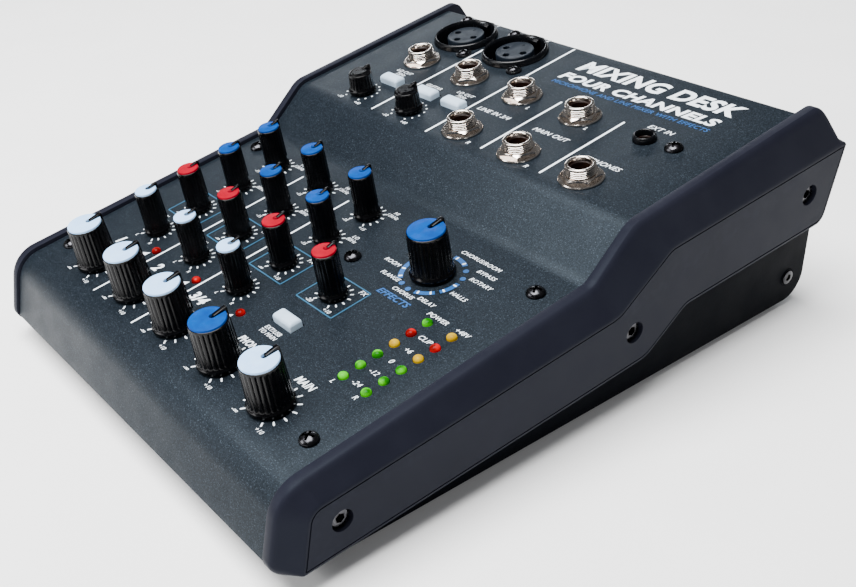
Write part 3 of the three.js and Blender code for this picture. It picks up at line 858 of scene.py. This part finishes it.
def nut():
    """A hex nut whose top corners are turned off to a chamfer."""
    low, high, sides = 0.75, 2.15, 72
    flat = NUT_R * cos(pi / 6)
    inner = BUSH_R + 0.1
    rings = [[] for _ in range(5)]
    for k in range(sides):
        angle = tau * k / sides
        reach = flat / cos((angle % (pi / 3)) - pi / 6)
        chamfer = high - 0.15 - (reach - flat) * 0.75
        section = [(inner, low), (reach, low), (reach, chamfer), (flat - 0.12, high), (inner, high)]
        for ring, (r, z) in zip(rings, section):
            ring.append((r * cos(angle), r * sin(angle), z))
    return ring_of(rings)


def washer():
    return tube([(4.6, 0.1), (6.5, 0.1), (6.65, 0.22), (6.6, 0.5), (6.4, 0.72), (4.6, 0.8)], 56)


def line_jacks():
    for index, (name, (x, s)) in enumerate(JACKS.items()):
        place = on_deck(x, s, STEP)
        turn = Matrix.Rotation(radians(17 + 23 * index), 4, "Z")
        put(core(), f"{name}_housing", place, "jack_core", stands_for=[name], angle=40)
        put(bush(), f"{name}_bush", place, "jack_nickel", angle=60)
        put(washer(), f"{name}_washer", place, "nickel")
        put(nut(), f"{name}_hex_nut", place @ turn, "nickel", stands_for=[f"{name}_nut"], angle=20)


PIN_R = 4.1
INSERT_R = 6.6


def mic_shell():
    """The round black shell of a microphone socket with its rim and the deep recess."""
    profile = [(10.3, -18), (10.3, -0.2), (10.5, 0.05), (11.5, 0.05), (11.6, 0.3), (11.35, 1.3),
               (11.15, 1.8), (10.95, 2.04), (10.7, 2.14), (10.5, 2.09), (10.35, 1.9), (10.2, 1.55),
               (10.1, 1.35), (9.9, -13), (INSERT_R + 0.1, -13), (INSERT_R + 0.1, -18)]
    return tube(profile, 96)


def mic_insert():
    """The flat insert with its keyed rim."""
    profile = [(INSERT_R, -17.5), (INSERT_R, 0.95), (INSERT_R - 0.08, 1.2), (INSERT_R - 0.35, 1.35),
               (INSERT_R - 0.7, 1.28), (INSERT_R - 0.9, 1.2)]
    return turned(profile, 72)


def mic_latch():
    """The release tab across the rim, at the back."""
    corners = [(8.4, 0.1, 0.3), (12.3, 0.1, 0.3), (12.2, 1.2, 0.6), (11.2, 1.9, 0.6), (8.9, 1.85, 0.4),
               (8.4, 1.2, 0.3)]
    return across(rounded(corners, 5), -2.3, 2.3, 0.25)


def mic_lugs():
    """The two lugs that the fixing screws go through."""
    bm = bmesh.new()
    for x, y in ((-9.9, 9.9), (9.6, -9.9)):
        prism(bm, circle(2.7, 36, (x, y)), 0.02, 0.85, 0.25)
    return bm


def mic_sockets():
    for name, (x, s) in MIC_SOCKETS.items():
        place = on_deck(x, s, STEP)
        put(mic_shell(), f"{name}_shell", place, "socket_plastic", stands_for=[name])
        insert = made(mic_insert(), f"{name}_insert", place)
        holes = bmesh.new()
        for px, py in ((-PIN_R, 0), (PIN_R, 0), (0, -PIN_R)):
            prism(holes, circle(1.25, 28, (px, py)), -9, 3)
        prism(holes, circle(0.6, 20, (0, 4.4)), 1.02, 3)
        carve(insert, holes, place)
        dress(insert, "socket_insert")
        put(mic_latch(), f"{name}_latch", place, "socket_plastic")
        put(mic_lugs(), f"{name}_lugs", place, "socket_plastic")
        for number, (sx, sy) in enumerate(((-10.2, 10.2), (9.9, -10.2)), 1):
            spot = on_deck(x + sx, s + sy, STEP + 0.8)
            cross_screw(f"{name}_screw_{number}", spot, 1.85, 1.15, "screw_black")


def ext_in_jack():
    place = on_deck(*EXT_IN, STEP)
    bush_line = [(3.1, -3.8), (3.1, 0.02), (3.5, 0.05), (3.55, 0.35), (3.45, 1.0), (3.35, 1.5), (3.15, 1.85),
                 (2.85, 1.95), (2.6, 1.85), (2.45, 1.6), (2.35, 1.0), (2.2, 0.4), (2.2, -3.8)]
    put(tube(bush_line, 56), "ext_in_bush", place, "socket_plastic", stands_for=["ext_in_jack"])
    well = [(2.15, -3.7), (2.15, 0.1), (1.95, 0.15), (1.8, 0), (1.8, -12), (2.15, -12)]
    put(tube(well, 40), "ext_in_contact", place, "jack_core")
    put(prism(bmesh.new(), rectangle(4.5, 4.5, 0.6), -13, -12.2), "ext_in_base", place, "socket_plastic")


# ---- Lamps ----


def lamps(name, places, stands_for):
    for number, (x, s, look) in enumerate(places, 1):
        dome = [(1.45, -4), (1.45, 0.15)]
        for k in range(1, 9):
            angle = radians(10.5 * k)
            dome.append((1.45 * cos(angle), 0.15 + 1.1 * sin(angle)))
        lens = made(turned(dome, 40), f"{name}_{number}", on_deck(x, s, 0))
        dress(lens, look, stands_for=stands_for if number == 1 else ())


# ---- Print ----


class Print:
    """Printed marks of one colour, gathered on both decks and then made into one piece."""

    def __init__(self):
        self.bm = bmesh.new()

    def shape(self, outline, x, s, n=0.0, turn=0.0):
        """A filled outline at a point of the deck, turned clockwise by degrees."""
        place = Matrix.Rotation(radians(-turn), 2)
        points = [place @ p for p in outline]
        prism(self.bm, [Vector((p.x + x, p.y + s)) for p in points], n - 0.1, n + INK)

    def line(self, x0, s0, x1, s1, width, n=0.0):
        """A straight line with round ends."""
        length = hypot(x1 - x0, s1 - s0)
        turn = degrees(atan2(x1 - x0, s1 - s0))
        self.shape(rectangle(width / 2, length / 2, width * 0.49, 4), (x0 + x1) / 2, (s0 + s1) / 2, n, turn)

    def arc(self, x, s, radius, first, last, width):
        """A round-ended arc between two bearings, in degrees clockwise from the back."""
        steps = max(4, int(abs(last - first) / 4))
        outline = []
        for r, order in ((radius + width / 2, range(steps + 1)), (radius - width / 2, range(steps, -1, -1))):
            outline += [Vector(polar(r, first + (last - first) * k / steps)) for k in order]
        self.shape(outline, x, s)

    def text(self, words, x, s, height, n=0.0, width=None, bold=0.0, slant=0.25):
        """Plain lettering at a point. Height is the capitals' height; width stretches the whole line."""
        curve = bpy.data.curves.new("lettering", "FONT")
        curve.body = words
        curve.size = height / 0.73
        curve.align_x = "CENTER"
        curve.align_y = "CENTER"
        curve.shear = slant
        curve.offset = bold * curve.size
        curve.extrude = (INK + 0.1) / 2
        curve.space_character = 1.06
        curve.space_line = 0.95
        curve.resolution_u = 4
        holder = bpy.data.objects.new("lettering", curve)
        show(holder)
        mesh = bpy.data.meshes.new_from_object(holder.evaluated_get(bpy.context.evaluated_depsgraph_get()))
        along = [v.co.x for v in mesh.vertices]
        spread = width / (max(along) - min(along)) if width else 1.0
        middle = (max(along) + min(along)) / 2 if width else 0.0
        place = shift((x - middle * spread, s, n + INK - curve.extrude))
        mesh.transform(place @ Matrix.Diagonal((spread, 1, 1, 1)))
        self.bm.from_mesh(mesh)
        bpy.data.meshes.remove(mesh)
        bpy.data.objects.remove(holder)
        bpy.data.curves.remove(curve)

    def finish(self, name, look):
        put(self.bm, name, DECK, look, angle=50)


def dial(white, x, s, radius, length, width):
    """Thirteen ticks round a knob."""
    tick = rectangle(width / 2, length / 2, width * 0.45, 3)
    for k in range(-6, 7):
        dx, ds = polar(radius, TICK_ANGLE * k)
        white.shape(tick, x + dx, s + ds, 0.0, TICK_ANGLE * k)


def end_marks(white, x, s, radius, low, high, size, n=0.0):
    """What stands at the two ends of a dial."""
    for bearing, words in ((-KNOB_TRAVEL, low), (KNOB_TRAVEL, high)):
        dx, ds = polar(radius, bearing)
        white.text(words, x + dx, s + ds, size, n)


def big_dial(white, x):
    dial(white, x, 0, 7.55, 1.5, 0.5)
    end_marks(white, x, 0, 9.7, "-∞", "+10", 1.35)


def small_dial(white, x, s, low, high, size=1.25):
    dial(white, x, s, 5.35, 1.2, 0.46)
    end_marks(white, x, s, 7.2, low, high, size)


def dotted_dial(white, x):
    """A gain knob's dial: dots in place of ticks."""
    for k in range(-6, 7):
        dx, ds = polar(5.9, TICK_ANGLE * k)
        white.shape(circle(0.32, 16), x + dx, GAIN_S + ds, STEP)
    end_marks(white, x, GAIN_S, 8.1, "-10", "+40", 1.35, STEP)


def strip_print(white, x, number):
    """The white marks of one channel strip."""
    big_dial(white, x)
    rows = [("L", "R", ""), ("-∞", "+10", ""), ("-15", "+15", "LO\n80Hz"), ("-15", "+15", "HI\n12kHz")]
    for row, (low, high, label) in enumerate(rows):
        s = FIRST_ROW + row * ROW
        small_dial(white, x, s, low, high)
        if label:
            white.text(label, x + 6.7, s + 5.2, 1.4)
    white.text("PAN", x - 6.6, FIRST_ROW + 6.4, 1.4)
    white.text("FX", x + 5.9, FIRST_ROW + ROW + 5.9, 1.7)
    white.text(number, x - 6.3, 11.6, 3.8, bold=0.035)
    tip = [Vector(p) for p in ((-1.5, -0.9), (1.3, -0.9), (1.3, 1.1))]
    white.shape(tip, x + PEAK_DX - 2.4, PEAK_S - 2.8)


def meter_print(white):
    for row, words in enumerate(("-24", "-12", "0", "+6", "CLIP")):
        x = METER_X + METER_COLUMN / 2
        white.text(words, x, METER_FIRST + (row + 0.1) * METER_ROW, 1.7)
    top = METER_FIRST + 5 * METER_ROW
    white.text("POWER", METER_X + 0.6, top + 3.0, 1.6)
    white.text("+48V", METER_X + METER_COLUMN + 0.6, top + 3.0, 1.6)
    white.text("L", METER_X - 0.8, METER_FIRST - 3.0, 1.6)
    white.text("R", METER_X + METER_COLUMN - 0.8, METER_FIRST - 3.0, 1.6)


def effects_print(white, blue):
    """Sixteen places round the effects knob: pairs and threes on blue arcs, single ones as blue dots."""
    centre = DECK.inverted() @ Vector(joints["effects_knob"]["pos_m"])
    x, s = centre.x, centre.y
    radius, place_angle = 9.25, 22.5
    for first, last in ((0, 1), (4, 5), (6, 7), (10, 12), (13, 15)):
        blue.arc(x, s, radius, place_angle * first - 7, place_angle * last + 7, 1.5)
        for k in range(first, last + 1):
            dx, ds = polar(radius, place_angle * k)
            white.shape(rectangle(0.27, 0.6, 0.2, 3), x + dx, s + ds, 0.05, place_angle * k)
    for k in (2, 3, 8, 9):
        dx, ds = polar(radius, place_angle * k)
        blue.shape(circle(0.85, 24), x + dx, s + ds)
    names = [("CHORUS/ROOM", 6.2, 12.4), ("BYPASS", 12.4, 8.7), ("ROTARY", 14.1, 4.9), ("HALLS", 13.6, -2.8),
             ("DELAY", 8.6, -10.0), ("CHORUS", 0.2, -11.4), ("FLANGE", -8.9, -8.4), ("ROOM", -13.7, -3.6),
             ("PLATE", -10.5, 9.8)]
    for words, to_right, to_back in names:
        white.text(words, x + to_right, s + to_back, 1.5)
    blue.text("EFFECTS", x, s - 14.6, 2.2, width=13.0, bold=0.02)


def lower_print(white, blue, outline):
    for x, number in zip(COLUMNS, ("1", "2", "3/4")):
        strip_print(white, x, number)
    for x in COLUMNS[3:]:
        big_dial(white, x)
    small_dial(white, COLUMNS[3], FIRST_ROW + ROW, "-20", "+10", 1.35)
    white.text("FX", COLUMNS[3] + 5.9, FIRST_ROW + ROW + 5.9, 1.7)
    for x in COLUMNS[:4]:
        corners = [(x - 8.8, 31.9), (x + 8.0, 31.9), (x + 8.0, 46.2), (x - 8.8, 46.2)]
        for (x0, s0), (x1, s1) in zip(corners, corners[1:] + corners[:1]):
            outline.line(x0, s0, x1, s1, 0.42)
    for x in (-37.0, -11.9):
        white.line(x, -8.5, x, 73, 0.62)
    white.text("PHONES", COLUMNS[3], 10.0, 2.4, width=10.5, bold=0.025)
    white.text("MAIN", COLUMNS[4] + 0.2, 10.6, 2.5, width=7.4, bold=0.025)
    white.text("EXT/USB\nTO MAIN", COLUMNS[3], 16.8, 1.5, width=7.6)
    meter_print(white)
    effects_print(white, blue)


def upper_print(white, blue):
    for (x, _), label in zip(MIC_SOCKETS.values(), ("MIC 1", "MIC 2")):
        white.text(label, x + 0.4, 172.4, 1.9, STEP)
    for x in COLUMNS[:2]:
        dotted_dial(white, x)
    labels = [
        ("LO CUT\n75Hz", -48.6, 127.9, 1.5), ("GUITAR", -30.6, 126.9, 1.5),
        ("LO CUT\n75Hz", -17.0, 127.9, 1.5), ("LINE IN 3/4", 0.4, 125.0, 2.0),
        ("MAIN OUT", 25.2, 125.0, 2.0), ("PHONES", 50.6, 121.0, 2.0), ("EXT IN", 50.2, 144.8, 2.0),
        ("L", 7.2, 133.4, 1.6), ("R", 7.6, 107.4, 1.6), ("L", 31.4, 133.6, 1.6),
        ("R", 32.4, 107.6, 1.6),
    ]
    for label, x, s, height in labels:
        white.text(label, x, s, height, STEP)
    dividers = [(-37.0, 104.4, 170.2), (-9.2, 104.4, 172.1), (13.6, 107.1, 142.2), (38.4, 107.1, 142.9)]
    for x, s0, s1 in dividers:
        white.line(x, s0, x, s1, 0.75, STEP)
    white.text("MIXING DESK", 32.0, 164.2, 6.6, STEP, width=61.5, bold=0.04, slant=0.2)
    white.text("FOUR CHANNELS", 30.7, 156.0, 4.2, STEP, width=61.2, bold=0.04, slant=0.2)
    blue.text("MICROPHONE AND LINE MIXER WITH EFFECTS", 31.0, 151.6, 1.9, STEP, width=61.2, slant=0.2)


def print_all():
    white, blue, outline = Print(), Print(), Print()
    lower_print(white, blue, outline)
    upper_print(white, blue)
    white.finish("white_print", "print_white")
    blue.finish("blue_print", "print_blue")
    outline.finish("outline_print", "print_outline")


# ---- The back and the underside ----


def rear_connectors():
    """The power inlet, the USB port and two push caps, standing through the rear wall."""
    turn = Matrix.Rotation(-pi / 2, 4, "X")

    def spot(x):
        return MM @ shift((x, REAR_Y, CONNECTOR_Z)) @ turn

    inlet = bmesh.new()
    tapered(inlet, 4.5, 5.5, 1.0, ((-13, 0), (0.25, 0), (0.6, 0.35)))
    piece = made(inlet, "dc_inlet_body", spot(DC_X))
    carve(piece, prism(bmesh.new(), circle(3.1, 40), -9, 2), spot(DC_X))
    dress(piece, "socket_plastic", stands_for=["dc_inlet"])
    pin = [(1.0, -9.6), (1.0, -1.0), (0.8, -0.65), (0.4, -0.5)]
    put(turned(pin, 24), "dc_inlet_pin", spot(DC_X), "nickel")

    shell = made(prism(bmesh.new(), rectangle(6, 5.5, 0.8), -15, 0.6), "usb_port_shell", spot(USB_X))
    hood = rounded([(-4.2, -3.9, 0.3), (4.2, -3.9, 0.3), (4.2, 2.4, 0.3), (2.7, 3.9, 0.3), (-2.7, 3.9, 0.3),
                    (-4.2, 2.4, 0.3)], 4)
    carve(shell, prism(bmesh.new(), hood, -11, 2), spot(USB_X))
    dress(shell, "usb_steel", stands_for=["usb_port"])
    tongue = prism(bmesh.new(), rectangle(2.8, 1.6, 0.2), -10.9, -0.9)
    put(tongue, "usb_port_tongue", spot(USB_X), "button_white")

    switches = [("phantom_switch", PHANTOM_X, 3.0, "button_white"),
                ("power_switch", POWER_X, 4.0, "socket_plastic")]
    for name, x, half, look in switches:
        cap = bmesh.new()
        tapered(cap, half, half, 0.6, ((-3, 0), (2.1, 0), (2.5, 0.15), (2.72, 0.4), (2.78, 0.8)))
        block(cap, (-1.5, -1.5, -9), (1.5, 1.5, -3.1))
        put(cap, f"{name}_cap", spot(x), look, name, [name])


def rear_print():
    """Plain words over the rear connectors."""
    white = Print()
    for words, x in (("DC IN", DC_X), ("USB", USB_X), ("+48V", PHANTOM_X), ("POWER", POWER_X)):
        white.text(words, -x, 0, 1.9)
    turn = Matrix.Rotation(pi, 4, "Z") @ Matrix.Rotation(pi / 2, 4, "X")
    place = MM @ shift((0, REAR_Y, CONNECTOR_Z + 8.8)) @ turn
    put(white.bm, "rear_print", place, "print_white", angle=50)


def feet():
    """Round rubber feet, each dished where its screw holds it."""
    for name in ("foot_front_left", "foot_front_right", "foot_rear_left", "foot_rear_right"):
        low, high = (Vector(c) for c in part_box(name))
        centre = (low + high) / 2
        profile = [(1.7, 1.2), (1.9, 0.35), (2.4, 0.02), (4.9, 0.0), (5.5, 0.25), (5.9, 1.5), (5.95, 2.2),
                   (1.7, 2.2)]
        place = shift((centre.x, centre.y, low.z)) @ MM
        put(tube(profile, 48), f"{name}_pad", place, "foot_rubber", stands_for=[name])
        screw_place = place @ shift((0, 0, 1.5)) @ Matrix.Rotation(pi, 4, "X")
        cross_screw(f"{name}_screw", screw_place, 1.6, 0.9, "screw_black")


def hidden_nodes():
    """The circuit boards stay as the frame has them, with a laminate material."""
    for name in ("control_board", "jack_board"):
        node = frame["nodes"][name]
        node.data.materials.clear()
        node.data.materials.append(LOOKS["board_laminate"])


# ---- Stage, light and camera ----


def stage():
    floor = bmesh.new()
    bmesh.ops.create_grid(floor, x_segments=4, y_segments=4, size=15000)
    piece = made(floor, "floor", MM)
    g = Graph("floor_paper")
    g.set(Specular_IOR_Level=0.1, Emission_Strength=0.08, Emission_Color=(1.0, 1.0, 1.0, 1.0))
    colour = g.ramp(g.noise(40.0), (0.3, (0.92, 0.92, 0.92)), (0.7, (0.95, 0.95, 0.95)))
    g.finish(colour, g.ramp(g.noise(20.0), (0.0, 0.7), (1.0, 0.85)))
    piece.data.materials.append(g.material)


def area_light(name, place, aim, size, power, colour=(1, 1, 1)):
    data = bpy.data.lights.new(name, "AREA")
    data.shape = "RECTANGLE"
    data.size, data.size_y = size
    data.energy = power
    data.color = colour
    lamp = bpy.data.objects.new(name, data)
    lamp.location = place
    lamp.rotation_euler = (Vector(aim) - Vector(place)).to_track_quat("-Z", "Y").to_euler()
    show(lamp)


def lights():
    world = bpy.data.worlds.new("studio")
    world.use_nodes = True
    background = world.node_tree.nodes["Background"].inputs
    background["Color"].default_value = (0.93, 0.96, 1.0, 1.0)
    background["Strength"].default_value = 0.14
    bpy.context.scene.world = world
    centre = (0, 0, 0.03)
    area_light("front_softbox", (-0.45, -0.9, 0.45), centre, (0.6, 0.5), 8)
    area_light("overhead", (-0.08, -0.25, 1.1), centre, (0.9, 0.9), 52)
    area_light("back_strip", (-0.9, 0.75, 0.5), centre, (0.9, 0.12), 4, (0.9, 0.95, 1.0))


def camera():
    data = bpy.data.cameras.new("photo_camera")
    data.sensor_width = 36.0
    data.lens = 47.37
    data.shift_x = 0.1765
    data.shift_y = 0.0227
    data.clip_start = 0.01
    eye = bpy.data.objects.new("photo_camera", data)
    eye.location = (0.2512, -0.195, 0.2029)
    eye.rotation_euler = [radians(a) for a in (57.945, 5.581, 55.983)]
    show(eye)
    bpy.context.scene.camera = eye


# ---- Assembly ----

camera()
top_panel()
bottom_pan()
cheek("right")
cheek("left")
panel_screws()
pan_screws()
all_knobs()
push_keys()
line_jacks()
mic_sockets()
ext_in_jack()
lamps("meter_lamp", meter_lamps(), ["meter_leds"])
lamps("peak_lamp", peak_lamps(), ["peak_leds"])
print_all()
rear_connectors()
rear_print()
feet()
hidden_nodes()
stage()
lights()
